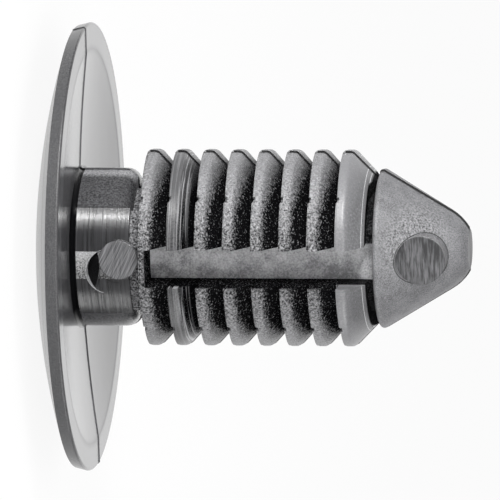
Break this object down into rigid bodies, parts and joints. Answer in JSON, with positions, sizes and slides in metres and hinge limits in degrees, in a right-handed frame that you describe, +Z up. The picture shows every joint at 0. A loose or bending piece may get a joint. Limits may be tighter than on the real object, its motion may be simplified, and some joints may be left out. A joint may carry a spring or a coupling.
{
  "type": "push-in panel clip",
  "caption": "One-piece fir-tree push-in clip: domed round head, plain collar, ring barbs on a channelled stem and a conical nose, for holding trim in a panel hole.",
  "frame": {"origin": "middle of the flat on the crown of the head, where the clip stands on its head", "axes": "+Z up the stem from the head to the nose, Y along the mould's pull with the ejector pads on the -Y side"},
  "size_m": [0.0254, 0.0254, 0.0242],
  "materials": {
    "black_nylon": "moulded, satin on the stem and glossy under the head"
  },
  "bodies": {
    "root": {"fir_tree_clip": "black_nylon"}
  },
  "joints": []
}
